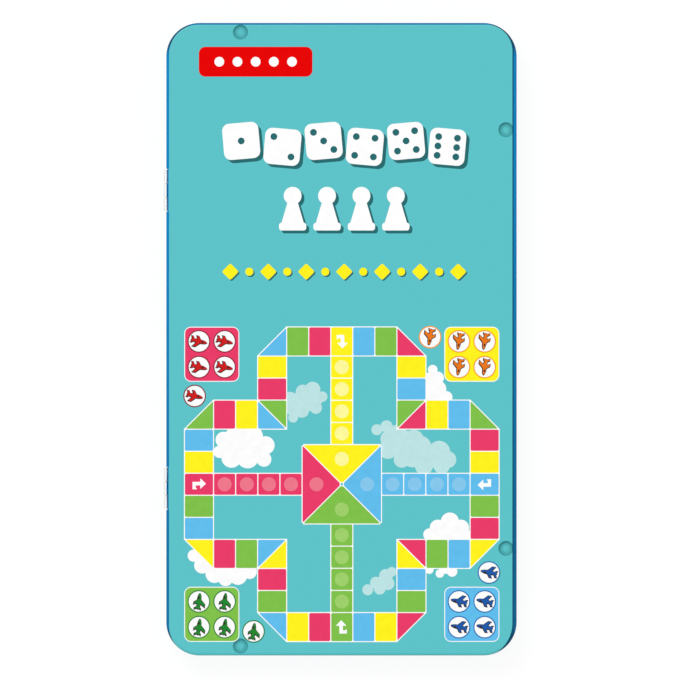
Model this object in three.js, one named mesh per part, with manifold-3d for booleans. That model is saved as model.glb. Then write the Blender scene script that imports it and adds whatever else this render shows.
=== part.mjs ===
import * as THREE from 'three';
import { mergeVertices } from 'three/addons/utils/BufferGeometryUtils.js';
import { RoundedBoxGeometry } from 'three/addons/geometries/RoundedBoxGeometry.js';
import Module from 'manifold-3d';

// A slim hinged tin that opens flat into a ludo board. Millimetres, +Z up, origin at the
// bottom centre of the closed tin's bounding box, hinges along the -X side.

// The closed tin.
const tin_length = 195;
const tin_width = 108;
const tin_height = 14;
const corner_radius = 10.3;
const sheet = 0.3;
const edge_bend = 1;
const overrun = 1;

// The parting line, where the lid's hem stops just above the base's shoulder.
const parting_z = tin_height / 2;
const hem_gap = 0.2;
const hem_radius = 0.55;
const hem_z = parting_z + hem_gap / 2;
const shoulder_z = parting_z - hem_gap / 2;
const shoulder_bend = 0.6;

// Four dimples pressed into the lid's face, which stop on the base's curled rim.
const dimple_radius = 2.2;
const dimple_depth = 1;
const end_dimple_from_back = 22.9;
const end_dimple_inset = 2.9;
const front_dimple_from_end = 33;
const front_dimple_inset = 3.3;
const stop_gap = 0.3;

// The base's neck, which the lid slides over, and its curled rim.
const neck_gap = 0.4;
const neck_inset = 2 * hem_radius + neck_gap;
const neck_bend = 0.3;
const rim_radius = 0.65;
const rim_z = tin_height - sheet - dimple_depth - stop_gap;
const rim_depth = neck_inset + 2 * rim_radius;
const fold_neck_height = 1.2;

// Two hinges, each a steel wire in three rolled knuckles: two of the base, one of the lid.
const hinge_from_end = 51.5;
const hinge_y = tin_length / 2 - hinge_from_end;
const hinge_recess_length = 13.3;
const pin_radius = 0.35;
const pin_gap = 0.15;
const fold_gap = 0.1;
const knuckle_gap = 0.3;
const knuckle_bore = pin_radius + pin_gap;
const knuckle_radius = knuckle_bore + sheet;
const barrel_length = hinge_recess_length - 2 * knuckle_gap;
const knuckle_length = (barrel_length - 2 * knuckle_gap) / 3;
const knuckle_pitch = knuckle_length + knuckle_gap;
const recess_end = hinge_recess_length / 2;
const knuckle_end = knuckle_length / 2;
const clear_end = knuckle_end + knuckle_gap;
const leaf_front = knuckle_bore - fold_gap;
const leaf_back = leaf_front + sheet;
const window_height = hem_gap / 2 + 2 * hem_radius + knuckle_gap;
const window_back = neck_inset - neck_bend;
const axis_x = -tin_width / 2 - fold_gap;
const barrel_reach = fold_gap + knuckle_radius;

// The magnetic counters, four in the yard in each outer corner of the opened board, and the
// die in its lane between the board and the front rim.
const die_lane = 10;
const yard_end_margin = 1.7;
const yard_side = 32;
const lane_x = tin_width / 2 - rim_depth - die_lane;
const yard_x = lane_x - yard_side / 2;
const yard_y = tin_length / 2 - rim_depth - yard_end_margin - yard_side / 2;
const counter_radius = 6;
const counter_height = 1.6;
const counter_chamfer = 0.3;
const counter_rim = 0.8;
const counter_recess = 0.25;
const counter_pitch = 15.2;
const counters_in_row = 2;
const rows_in_yard = 2;
const seat_gap = 0.1;
const die_size = 8;
const die_edge = 1;
const pip_radius = 0.7;
const pip_pitch = 2;
const die_x = lane_x + die_lane / 2;

// How finely round stretches are stepped.
const corner_steps = 9;
const bend_steps = 4;
const curl_steps = 8;
const knuckle_steps = 12;
const pin_sides = 12;
const dimple_sides = 16;
const dimple_rings = 4;
const counter_sides = 20;
const die_steps = 2;
const pip_sides = 8;

// Directions in a wall's section, where the section's x runs into the tin, and how far the
// hem, the rim and the knuckles are rolled.
const inward = 0;
const upward = Math.PI / 2;
const outward = Math.PI;
const downward = upward + outward;
const turn = 2 * Math.PI;
const curl_turn = THREE.MathUtils.degToRad(80);
const knuckle_turn = THREE.MathUtils.degToRad(285);
const knuckle_root = THREE.MathUtils.degToRad(20);

const wasm = await Module();
wasm.setup();

// Vertices in one place become one, and triangles that this collapses are dropped.
function weld(geometry) {
  const bare = geometry.clone();
  bare.deleteAttribute('normal');
  bare.deleteAttribute('uv');
  const merged = mergeVertices(bare);
  const corners = merged.index.array;
  const kept = [];
  for (let i = 0; i < corners.length; i += 3) {
    const [a, b, c] = corners.slice(i, i + 3);
    if (a !== b && b !== c && c !== a) kept.push(a, b, c);
  }
  merged.setIndex(kept);
  return merged;
}

function solidOf(geometry) {
  const welded = weld(geometry);
  const vertProperties = new Float32Array(welded.attributes.position.array);
  const triVerts = new Uint32Array(welded.index.array);
  return new wasm.Manifold(new wasm.Mesh({ numProp: 3, vertProperties, triVerts }));
}

function geometryOf(solid) {
  const { vertProperties, triVerts } = solid.getMesh();
  const geometry = new THREE.BufferGeometry();
  geometry.setAttribute('position', new THREE.BufferAttribute(vertProperties, 3));
  geometry.setIndex(new THREE.BufferAttribute(triVerts, 1));
  geometry.computeVertexNormals();
  return geometry;
}

function block(x0, x1, y0, y1, z0, z1) {
  const box = new THREE.BoxGeometry(x1 - x0, y1 - y0, z1 - z0);
  box.translate((x0 + x1) / 2, (y0 + y1) / 2, (z0 + z1) / 2);
  return solidOf(box);
}

function arc(x, y, radius, from, to, steps) {
  const points = [];
  for (let step = 0; step <= steps; step++) {
    const angle = from + ((to - from) * step) / steps;
    points.push(new THREE.Vector2(x + radius * Math.cos(angle), y + radius * Math.sin(angle)));
  }
  return points;
}

// The tin's rounded outline, drawn in by inset, anticlockwise seen from above.
function outline(inset) {
  const x = tin_width / 2 - corner_radius;
  const y = tin_length / 2 - corner_radius;
  const radius = corner_radius - inset;
  return [
    ...arc(x, y, radius, inward, upward, corner_steps),
    ...arc(-x, y, radius, upward, outward, corner_steps),
    ...arc(-x, -y, radius, outward, downward, corner_steps),
    ...arc(x, -y, radius, downward, turn, corner_steps),
  ];
}

// A pressed shell from its wall's section: points (inset, z) that run from the flat that
// faces down, along one side of the sheet, round its edge and back to the flat that faces up.
function pressing(section) {
  const rings = section.map((point) => outline(point.x));
  const count = rings[0].length;
  const positions = rings.flatMap((ring, r) => ring.flatMap((p) => [p.x, p.y, section[r].y]));
  const triangles = [];
  for (let r = 0; r + 1 < rings.length; r++) {
    for (let i = 0; i < count; i++) {
      const near = r * count + i;
      const next = r * count + ((i + 1) % count);
      triangles.push(near, next, next + count, near, next + count, near + count);
    }
  }
  const last = (rings.length - 1) * count;
  for (let i = 1; i + 1 < count; i++) {
    triangles.push(0, i + 1, i);
    triangles.push(last, last + i, last + i + 1);
  }
  const geometry = new THREE.BufferGeometry();
  geometry.setAttribute('position', new THREE.Float32BufferAttribute(positions, 3));
  geometry.setIndex(triangles);
  return solidOf(geometry);
}

// Floor, wall, shoulder, neck and a rim curled inward, then back down the inside.
function baseSection() {
  const neck_x = neck_inset - neck_bend;
  const neck_z = shoulder_z + neck_bend;
  const rim_x = neck_inset + rim_radius;
  const wall_top = shoulder_z - shoulder_bend;
  const rim_low = rim_z - rim_radius;
  return [
    ...arc(edge_bend, edge_bend, edge_bend, downward, outward, bend_steps),
    ...arc(shoulder_bend, wall_top, shoulder_bend, outward, upward, bend_steps),
    ...arc(neck_x, neck_z, neck_bend, downward, turn, bend_steps),
    ...arc(rim_x, rim_low, rim_radius, outward, -curl_turn, curl_steps),
    ...arc(rim_x, rim_low, rim_radius - sheet, -curl_turn, outward, curl_steps),
    ...arc(neck_x, neck_z, neck_bend + sheet, turn, downward, bend_steps),
    ...arc(shoulder_bend, wall_top, shoulder_bend - sheet, upward, outward, bend_steps),
    ...arc(edge_bend, edge_bend, edge_bend - sheet, outward, downward, bend_steps),
  ];
}

// What the base's wall holds inside the middle of its sheet.
function baseCore() {
  const middle = sheet / 2;
  return pressing([
    ...arc(edge_bend, edge_bend, edge_bend - middle, downward, outward, bend_steps),
    new THREE.Vector2(middle, shoulder_z),
  ]);
}

// Inner face, wall and a hem curled inward, then back up the outside to the top face.
function lidSection() {
  const face_low = tin_height - edge_bend;
  const hem_high = hem_z + hem_radius;
  return [
    ...arc(edge_bend, face_low, edge_bend - sheet, upward, outward, bend_steps),
    ...arc(hem_radius, hem_high, hem_radius - sheet, outward, turn + curl_turn, curl_steps),
    ...arc(hem_radius, hem_high, hem_radius, turn + curl_turn, outward, curl_steps),
    ...arc(edge_bend, face_low, edge_bend, outward, upward, bend_steps),
  ];
}

// What the lid's wall holds inside the middle of its sheet.
function lidCore() {
  const middle = sheet / 2;
  const face_low = tin_height - edge_bend;
  return pressing([
    new THREE.Vector2(middle, hem_z),
    ...arc(edge_bend, face_low, edge_bend - middle, outward, upward, bend_steps),
  ]);
}

// A round tool with its axis along Z, from points (radius, z) that run from bottom to top.
function turned(profile, sides) {
  return new THREE.LatheGeometry(profile, sides).rotateX(turn / 4);
}

// One dimple: the sheet is domed into the tin, then the hollow is taken out of its outside.
function pressDimple(lid, x, y) {
  const bowl = (dimple_radius ** 2 + dimple_depth ** 2) / (2 * dimple_depth);
  const centre_z = tin_height - dimple_depth + bowl;
  const capTo = (radius, top) => {
    const end = downward + Math.acos((centre_z - top) / radius);
    const [, ...rise] = arc(0, centre_z, radius, downward, end, dimple_rings);
    return [new THREE.Vector2(0, centre_z - radius), ...rise];
  };
  const dome_top = tin_height - sheet / 2;
  const dome = [...capTo(bowl + sheet, dome_top), new THREE.Vector2(0, dome_top)];
  const mouth = new THREE.Vector2(dimple_radius, tin_height + overrun);
  const hollow = [...capTo(bowl, tin_height), mouth, new THREE.Vector2(0, mouth.y)];
  const domed = lid.add(solidOf(turned(dome, dimple_sides).translate(x, y, 0)));
  return domed.subtract(solidOf(turned(hollow, dimple_sides).translate(x, y, 0)));
}

// A box on the hinge-side wall. Heights count from the parting line into the shell's own
// half, which is above it for the lid (side 1) and below it for the base (side -1).
function onHingeWall(side, inset0, inset1, y0, y1, height0, height1) {
  const wall_x = -tin_width / 2;
  const ends = [parting_z + side * height0, parting_z + side * height1];
  return block(wall_x + inset0, wall_x + inset1, y0, y1, Math.min(...ends), Math.max(...ends));
}

// A rolled knuckle: the leaf's sheet carried past the pin and most of the way round it.
function knuckle(side, y, length) {
  const from = knuckle_root * side;
  const to = -knuckle_turn * side;
  const section = new THREE.Shape([
    ...arc(axis_x, parting_z, knuckle_radius, from, to, knuckle_steps),
    ...arc(axis_x, parting_z, knuckle_bore, to, from, knuckle_steps),
  ]);
  const rolled = new THREE.ExtrudeGeometry(section, { depth: length, bevelEnabled: false });
  return solidOf(rolled.rotateX(turn / 4).translate(0, y + length / 2, 0));
}

// One shell's half of one hinge: the wall is set in as a leaf, windows clear the other
// shell's knuckles, and the shell's own knuckles are rolled from what is left of the leaf.
function formHinge(shell, core, side, y, own, windows) {
  const y0 = y - recess_end;
  const y1 = y + recess_end;
  const far = parting_z + overrun;
  const leaf = onHingeWall(side, 0, leaf_back, y0 - sheet, y1 + sheet, 0, far);
  let formed = shell.add(leaf.intersect(core));
  formed = formed.subtract(onHingeWall(side, -overrun, leaf_front, y0, y1, -overrun, far));
  const behind = onHingeWall(side, leaf_back, window_back, y0, y1, -overrun, window_height);
  formed = formed.subtract(behind);
  for (const [low, high] of windows) {
    const span = [-overrun, window_back, y + low, y + high];
    formed = formed.subtract(onHingeWall(side, ...span, -overrun, window_height));
  }
  for (const centre of own) formed = formed.add(knuckle(side, y + centre, knuckle_length));
  return formed;
}

// The base's leaf keeps its two outer knuckles, with a window at the lid's knuckle. Its neck
// is trimmed low along the hinges, so that the opened board has no high wall at the fold.
function makeBase() {
  let base = pressing(baseSection());
  const trim_y = tin_length / 2 - corner_radius - 2 * rim_radius;
  const trim_x = -tin_width / 2 + neck_inset;
  const trim_z = shoulder_z + fold_neck_height;
  const trim_back = -tin_width / 2 + rim_depth + overrun;
  const trim = block(trim_x - neck_gap, trim_back, -trim_y, trim_y, trim_z, tin_height);
  base = base.subtract(trim);
  for (const y of [hinge_y, -hinge_y]) {
    const own = [-knuckle_pitch, knuckle_pitch];
    base = formHinge(base, baseCore(), -1, y, own, [[-clear_end, clear_end]]);
  }
  return geometryOf(base);
}

// The lid's leaf keeps only its middle knuckle, with a window on either side of it.
function makeLid() {
  let lid = pressing(lidSection());
  const end_y = tin_length / 2 - end_dimple_inset;
  const end_x = end_dimple_from_back - tin_width / 2;
  const front_x = tin_width / 2 - front_dimple_inset;
  const front_y = tin_length / 2 - front_dimple_from_end;
  for (const side of [1, -1]) {
    lid = pressDimple(lid, end_x, side * end_y);
    lid = pressDimple(lid, front_x, side * front_y);
  }
  for (const y of [hinge_y, -hinge_y]) {
    const windows = [[-recess_end, -knuckle_end], [knuckle_end, recess_end]];
    lid = formHinge(lid, lidCore(), 1, y, [0], windows);
  }
  return geometryOf(lid);
}

function makePin() {
  return weld(new THREE.CylinderGeometry(pin_radius, pin_radius, barrel_length, pin_sides));
}

// A flat magnetic disc with broken edges and a shallow recess inside its raised rim.
function makeCounter() {
  const rim_inner = counter_radius - counter_chamfer - counter_rim;
  const profile = [
    [0, 0],
    [counter_radius - counter_chamfer, 0],
    [counter_radius, counter_chamfer],
    [counter_radius, counter_height - counter_chamfer],
    [counter_radius - counter_chamfer, counter_height],
    [rim_inner, counter_height],
    [rim_inner - counter_recess, counter_height - counter_recess],
    [0, counter_height - counter_recess],
  ].map(([radius, z]) => new THREE.Vector2(radius, z));
  return weld(turned(profile, counter_sides));
}

// Pip places on each face, in steps of the pip pitch from the face's centre.
const pip_steps = {
  1: [[0, 0]],
  2: [[-1, -1], [1, 1]],
  3: [[-1, -1], [0, 0], [1, 1]],
  4: [[-1, -1], [-1, 1], [1, -1], [1, 1]],
  5: [[-1, -1], [-1, 1], [0, 0], [1, -1], [1, 1]],
  6: [[-1, -1], [-1, 0], [-1, 1], [1, -1], [1, 0], [1, 1]],
};

// A rounded cube with hollowed pips. Opposite faces add up to seven, with five on top.
function makeDie() {
  const cube = new RoundedBoxGeometry(die_size, die_size, die_size, die_steps, die_edge);
  let die = solidOf(cube);
  const quarter = turn / 4;
  const faces = [
    [5, new THREE.Euler(0, 0, 0)],
    [2, new THREE.Euler(turn / 2, 0, 0)],
    [1, new THREE.Euler(0, quarter, 0)],
    [6, new THREE.Euler(0, -quarter, 0)],
    [3, new THREE.Euler(quarter, 0, 0)],
    [4, new THREE.Euler(-quarter, 0, 0)],
  ];
  for (const [pips, turned_to] of faces) {
    const pose = new THREE.Matrix4().makeRotationFromEuler(turned_to);
    for (const [across, along] of pip_steps[pips]) {
      const ball = new THREE.SphereGeometry(pip_radius, pip_sides, pip_sides / 2);
      ball.translate(across * pip_pitch, along * pip_pitch, die_size / 2 + pip_radius / 2);
      die = die.subtract(solidOf(ball.applyMatrix4(pose)));
    }
  }
  return geometryOf(die);
}

function finish(colour, roughness, metalness) {
  return new THREE.MeshStandardMaterial({ color: colour, roughness, metalness });
}

function named(name, geometry, material) {
  const mesh = new THREE.Mesh(geometry, material);
  mesh.name = name;
  return mesh;
}

const printed_tin = finish(0x60c2c8, 0.35, 0.3);
const steel = finish(0xc9ccd0, 0.3, 1);
const ivory = finish(0xf6f4ec, 0.3, 0);

const tin = new THREE.Group();
tin.position.x = barrel_reach / 2;
tin.add(named('base_shell', makeBase(), printed_tin));
tin.add(named('lid_shell', makeLid(), printed_tin));

for (const [place, y] of [['upper', hinge_y], ['lower', -hinge_y]]) {
  const pin = named(`hinge_pin_${place}`, makePin(), steel);
  pin.position.set(axis_x, y, parting_z);
  tin.add(pin);
}

// Each yard's colour, the end of the tin that it lies at, and the shell that carries it.
const yards = [
  ['red', 0xe83a68, 1, 'lid'],
  ['green', 0x7ebe48, -1, 'lid'],
  ['yellow', 0xfff100, 1, 'base'],
  ['blue', 0x5eb8e8, -1, 'base'],
];
for (const [colour, shade, end, shell] of yards) {
  for (let i = 0; i < counters_in_row * rows_in_yard; i++) {
    const counter = named(`${colour}_counter_${i + 1}`, makeCounter(), finish(shade, 0.5, 0));
    const across = (i % counters_in_row) - (counters_in_row - 1) / 2;
    const along = Math.floor(i / counters_in_row) - (rows_in_yard - 1) / 2;
    counter.position.x = yard_x + across * counter_pitch;
    counter.position.y = end * (yard_y + along * counter_pitch);
    counter.position.z = sheet + seat_gap;
    if (shell === 'lid') {
      counter.position.z = tin_height - sheet - seat_gap;
      counter.rotation.x = turn / 2;
    }
    tin.add(counter);
  }
}

const die = named('die', makeDie(), ivory);
die.position.set(die_x, 0, sheet + seat_gap + die_size / 2);
tin.add(die);

const box = new THREE.Group();
box.add(tin);
export default box;
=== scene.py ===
import math

import bpy
from mathutils import Matrix, Vector


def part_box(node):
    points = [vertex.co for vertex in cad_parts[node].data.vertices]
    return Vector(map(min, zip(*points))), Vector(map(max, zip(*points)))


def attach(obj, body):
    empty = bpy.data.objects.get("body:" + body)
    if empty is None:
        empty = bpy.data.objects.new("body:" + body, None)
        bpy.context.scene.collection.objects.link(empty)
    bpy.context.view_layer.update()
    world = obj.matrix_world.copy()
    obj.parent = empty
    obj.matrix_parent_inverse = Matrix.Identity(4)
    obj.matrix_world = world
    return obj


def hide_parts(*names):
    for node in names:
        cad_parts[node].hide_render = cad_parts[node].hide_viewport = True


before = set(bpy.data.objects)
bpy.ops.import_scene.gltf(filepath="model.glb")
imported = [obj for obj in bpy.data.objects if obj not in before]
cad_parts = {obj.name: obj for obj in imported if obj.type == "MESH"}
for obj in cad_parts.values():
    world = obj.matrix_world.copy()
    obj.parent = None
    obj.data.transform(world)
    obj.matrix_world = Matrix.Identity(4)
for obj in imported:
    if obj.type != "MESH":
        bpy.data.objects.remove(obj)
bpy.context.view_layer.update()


# The view. The closed tin lies on a white sweep and is photographed from straight above with a
# long lens, so that its walls are nearly hidden. One soft lamp stands beyond its upper left.

mm = 0.001
scene = bpy.context.scene
scene.view_settings.view_transform = "Standard"

bpy.ops.object.camera_add(location=(0.15 * mm, -0.4 * mm, 2.5))
camera = bpy.context.object
camera.data.sensor_width = 36
camera.data.lens = 426.5
camera.data.clip_end = 20
scene.camera = camera

bpy.ops.object.light_add(type="SUN", location=(-0.3, 0.5, 0.8))
lamp = bpy.context.object
lamp.rotation_euler = Vector((-0.3, 0.55, 1)).to_track_quat("Z", "Y").to_euler()
lamp.data.energy = 1.5
lamp.data.angle = math.radians(25)


def add_node(nodes, kind, **inputs):
    """A new node with inputs set by name, an underline for a space."""
    node = nodes.new(f"ShaderNode{kind}")
    for name, value in inputs.items():
        node.inputs[name.replace("_", " ")].default_value = value
    return node


def seen_directly(nodes, links):
    """1 for what the camera, a reflection or a refraction sees, 0 for the light on a surface."""
    path = add_node(nodes, "LightPath")
    seen = path.outputs["Is Camera Ray"]
    for kind in ("Is Glossy Ray", "Is Transmission Ray"):
        either = add_node(nodes, "Math")
        either.operation = "MAXIMUM"
        links.new(seen, either.inputs[0])
        links.new(path.outputs[kind], either.inputs[1])
        seen = either.outputs[0]
    return seen


room = bpy.data.worlds.new("room")
room.use_nodes = True
scene.world = room
room_nodes, room_links = room.node_tree.nodes, room.node_tree.links
room_light = room_nodes["Background"]
room_light.inputs["Color"].default_value = (1, 1, 1, 1)
room_level = add_node(room_nodes, "MapRange", To_Min=0.6, To_Max=1.0)
room_links.new(seen_directly(room_nodes, room_links), room_level.inputs["Value"])
room_links.new(room_level.outputs["Result"], room_light.inputs["Strength"])

bpy.ops.object.select_all(action="DESELECT")
bpy.ops.mesh.primitive_plane_add(size=8, location=(0, 0, -0.1 * mm))
floor = bpy.context.object
floor.name = "floor"
paper = bpy.data.materials.new("white_sweep")
paper.use_nodes = True
paper_nodes, paper_links = paper.node_tree.nodes, paper.node_tree.links
paper_nodes.clear()
matt = add_node(paper_nodes, "BsdfDiffuse", Color=(0.9, 0.9, 0.9, 1))
glow = add_node(paper_nodes, "Emission", Strength=1.02)
glow_share = add_node(paper_nodes, "MapRange", To_Max=0.9)
sheet_mix = add_node(paper_nodes, "MixShader")
paper_out = add_node(paper_nodes, "OutputMaterial")
paper_links.new(seen_directly(paper_nodes, paper_links), glow_share.inputs["Value"])
paper_links.new(glow_share.outputs["Result"], sheet_mix.inputs["Fac"])
paper_links.new(matt.outputs[0], sheet_mix.inputs[1])
paper_links.new(glow.outputs[0], sheet_mix.inputs[2])
paper_links.new(sheet_mix.outputs[0], paper_out.inputs["Surface"])
floor.data.materials.append(paper)


# The lid's shell. One sheet of tinplate, pressed to a shallow tray: a flat face, a bend all
# round, a straight wall and an edge curled in on itself. Its outside is printed and varnished.

tin_middle = 0.45 * mm
tin_width, tin_length = 108 * mm, 195 * mm
corner_radius = 10.3 * mm
sheet = 0.3 * mm
parting_z = 7 * mm
tin_height = 2 * parting_z
face_z = 13.91 * mm
bend = 1 * mm
flat_reach = 8.5 * mm
hem = 0.55 * mm
hem_z = parting_z + 0.1 * mm + hem
hem_end = math.radians(80)
hair = 0.02 * mm
touch = 0.05 * mm


def only(piece):
    """Selects this one piece and nothing else."""
    bpy.ops.object.select_all(action="DESELECT")
    piece.select_set(True)
    bpy.context.view_layer.objects.active = piece


def edit_mode():
    bpy.ops.object.mode_set(mode="EDIT")


def object_mode():
    bpy.ops.object.mode_set(mode="OBJECT")


def open_whole(piece):
    """Edit mode on this one piece, with all of it selected."""
    only(piece)
    edit_mode()
    bpy.ops.mesh.select_all(action="SELECT")


def settle():
    """Puts the selected object's place, turn and size into its mesh."""
    bpy.ops.object.transform_apply(location=True, rotation=True, scale=True)


def close_up():
    """In edit mode, merges points that meet and turns every face outward."""
    bpy.ops.mesh.select_all(action="SELECT")
    bpy.ops.mesh.remove_doubles(threshold=0.001 * mm)
    bpy.ops.mesh.normals_make_consistent(inside=False)


def pick(piece, wanted):
    """In edit mode, selects the faces whose centre and normal are wanted, and nothing else."""
    only(piece)
    edit_mode()
    bpy.ops.mesh.select_mode(type="FACE")
    bpy.ops.mesh.select_all(action="DESELECT")
    object_mode()
    for face in piece.data.polygons:
        face.select = bool(wanted(face.center, face.normal))
    edit_mode()


def draw_line(start, moves):
    """A line in the plane, from a start along runs ("to", x, y) and along rounds
    ("round", x, y, degrees), which turn anticlockwise about (x, y)."""
    bpy.ops.object.select_all(action="DESELECT")
    bpy.ops.mesh.primitive_plane_add(size=mm)
    line = bpy.context.object
    edit_mode()
    bpy.ops.mesh.select_mode(type="VERT")
    bpy.ops.mesh.merge(type="CENTER")
    here = Vector((start[0], start[1], 0))
    bpy.ops.transform.translate(value=here)
    for kind, x, y, *turned in moves:
        point = Vector((x, y, 0))
        if kind == "to":
            bpy.ops.mesh.extrude_region_move(TRANSFORM_OT_translate={"value": point - here})
            here = point
        else:
            angle = math.radians(turned[0])
            steps = max(3, round(abs(turned[0]) / 9))
            bpy.ops.mesh.spin(steps=steps, angle=-angle, center=point, axis=(0, 0, 1))
            here = point + Matrix.Rotation(angle, 3, "Z") @ (here - point)
    object_mode()
    return line


def press(name, section):
    """Carries a wall's section, x into the tin and y up, round the tin's outline and closes the
    flat of the sheet on both sides."""
    bpy.ops.object.select_all(action="DESELECT")
    bpy.ops.mesh.primitive_plane_add(size=1)
    outline = bpy.context.object
    edit_mode()
    bpy.ops.transform.resize(value=(tin_width, tin_length, 1))
    bpy.ops.mesh.bevel(offset=corner_radius, segments=22, affect="VERTICES")
    bpy.ops.mesh.delete(type="ONLY_FACE")
    object_mode()
    bpy.ops.object.convert(target="CURVE")
    only(section)
    bpy.ops.object.convert(target="CURVE")
    only(outline)
    outline.data.dimensions = "2D"
    outline.data.fill_mode = "NONE"
    outline.data.bevel_mode = "OBJECT"
    outline.data.bevel_object = section
    bpy.ops.object.convert(target="MESH")
    bpy.data.objects.remove(section)
    shell = bpy.context.object
    shell.name = name
    shell.location.x = tin_middle
    settle()
    edit_mode()
    bpy.ops.mesh.select_all(action="SELECT")
    bpy.ops.mesh.remove_doubles(threshold=0.001 * mm)
    bpy.ops.mesh.fill_holes(sides=0)
    bpy.ops.mesh.normals_make_consistent(inside=False)
    object_mode()
    return shell


def block(x0, x1, y0, y1, z0, z1):
    """A cube brought to its size and place."""
    bpy.ops.object.select_all(action="DESELECT")
    middle = ((x0 + x1) / 2, (y0 + y1) / 2, (z0 + z1) / 2)
    bpy.ops.mesh.primitive_cube_add(size=1, location=middle)
    cube = bpy.context.object
    cube.scale = (x1 - x0, y1 - y0, z1 - z0)
    settle()
    return cube


def spun(start, moves, steps=40):
    """A round solid from a line (radius, z) that runs from its axis round its side to its axis."""
    line = draw_line(start, moves)
    open_whole(line)
    bpy.ops.transform.rotate(value=-math.pi / 2, orient_axis="X", center_override=(0, 0, 0))
    bpy.ops.mesh.spin(steps=steps, angle=2 * math.pi, center=(0, 0, 0), axis=(0, 0, 1))
    close_up()
    object_mode()
    return line


def carve(piece, tool, operation="DIFFERENCE"):
    """Takes a tool's shape out of a piece, or adds it, and puts the tool away."""
    only(piece)
    cut = piece.modifiers.new("cut", "BOOLEAN")
    cut.operation = operation
    cut.solver = "EXACT"
    cut.object = tool
    bpy.ops.object.modifier_apply(modifier="cut")
    bpy.data.objects.remove(tool)


def smooth(piece, degrees=32):
    """Smooth bends, crisp edges and flats that stay flat."""
    only(piece)
    bpy.ops.object.shade_smooth_by_angle(angle=math.radians(degrees))
    weigh = piece.modifiers.new("weigh", "WEIGHTED_NORMAL")
    weigh.keep_sharp = True
    bpy.ops.object.modifier_apply(modifier="weigh")


inner_low = 13.7 * mm
lid_section = draw_line(
    (flat_reach, inner_low),
    [
        ("to", bend, inner_low),
        ("round", bend, face_z - bend, 90),
        ("to", sheet, hem_z),
        ("round", hem, hem_z, 260),
        ("to", hem + hem * math.cos(hem_end), hem_z + hem * math.sin(hem_end)),
        ("round", hem, hem_z, -260),
        ("to", 0, face_z - bend),
        ("round", bend, face_z - bend, -90),
        ("to", flat_reach, face_z),
    ],
)
lid = press("lid_shell_tin", lid_section)

# Four dimples are struck into the lid's face from outside, to stop on the base's rim.
dimples = [(-31.1 * mm, 94.6 * mm), (-31.1 * mm, -94.6 * mm)]
dimples += [(50.7 * mm, 64.5 * mm), (50.7 * mm, -64.5 * mm)]
dimple_depth, dimple_flat, dimple_reach = 0.9 * mm, 1.8 * mm, 2.5 * mm
dimple_steps, bottom_share = 12, 0.6
bump_wider, bump_lip, dent_lip = 1.1, 0.05 * mm, 0.03 * mm


def dent_profile(depth, top, lip):
    """The hollow's curve: a flat bottom, then a slope that eases out onto the face."""
    rise = [(dimple_flat * bottom_share, top - depth)]
    for step in range(dimple_steps + 1):
        part = step / dimple_steps
        radius = dimple_flat + (dimple_reach - dimple_flat) * part
        sunk = (depth + lip) * (1 + math.cos(math.pi * part)) / 2
        rise.append((radius, top + lip - sunk))
    return [(0, top - depth)] + rise


within_x, within_y = tin_width / 2 - bend / 2, tin_length / 2 - bend / 2
for x, y in dimples:
    place = Matrix.Translation((tin_middle + x, y, 0))
    swell = dent_profile(dimple_depth, inner_low, bump_lip)
    swell = [("to", radius * bump_wider, z) for radius, z in swell]
    bump = spun(swell[0][1:], swell[1:] + [("to", 0, swell[-1][2])], 32)
    bump.data.transform(place)
    kept = (tin_middle - within_x, tin_middle + within_x, -within_y, within_y, 0, face_z)
    carve(bump, block(*kept), "INTERSECT")
    carve(lid, bump, "UNION")
    hollow = [("to", *point) for point in dent_profile(dimple_depth, face_z, dent_lip)]
    above = [("to", dimple_reach, face_z + mm), ("to", 0, face_z + mm)]
    dent = spun(hollow[0][1:], hollow[1:] + above, 32)
    dent.data.transform(place)
    carve(lid, dent)

# Over each hinge the wall is set in as a leaf. Windows clear the base's two knuckles, and the
# lid's own knuckle, in the middle, is rolled from the leaf round the wire.
wall_x = tin_middle - tin_width / 2
axis_x = wall_x - 0.1 * mm
hinge_y = 46 * mm
recess_end = 6.65 * mm
leaf_front, leaf_back = 0.4 * mm, 0.7 * mm
window_back = 1.2 * mm
window_height = 1.5 * mm
knuckle_long, knuckle_pitch = 4.033 * mm, 4.333 * mm
clear_end = knuckle_long / 2 + 0.3 * mm
bore, roll = 0.5 * mm, 0.8 * mm
lead_in, rolled = math.radians(20), math.radians(285)
leaf_margin, leaf_round = 0.15 * mm, 0.5 * mm
past_face = 8 * mm


def leaf_block(y0, y1, side):
    """The leaf's stock, its outer edge rounded so that it stays inside the shell's bend."""
    far = face_z - leaf_margin if side > 0 else leaf_margin
    low, high = sorted((parting_z + side * hair, far))
    stock = block(wall_x + leaf_margin, wall_x + leaf_back, y0, y1, low, high)
    only(stock)
    edit_mode()
    bpy.ops.mesh.select_mode(type="EDGE")
    bpy.ops.mesh.select_all(action="DESELECT")
    object_mode()
    points = stock.data.vertices
    for edge in stock.data.edges:
        ends = [points[i].co for i in edge.vertices]
        edge.select = all(e.x < wall_x + 2 * leaf_margin and abs(e.z - far) < hair for e in ends)
    edit_mode()
    bpy.ops.mesh.bevel(offset=leaf_round, segments=5, affect="EDGES")
    object_mode()
    return stock


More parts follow.
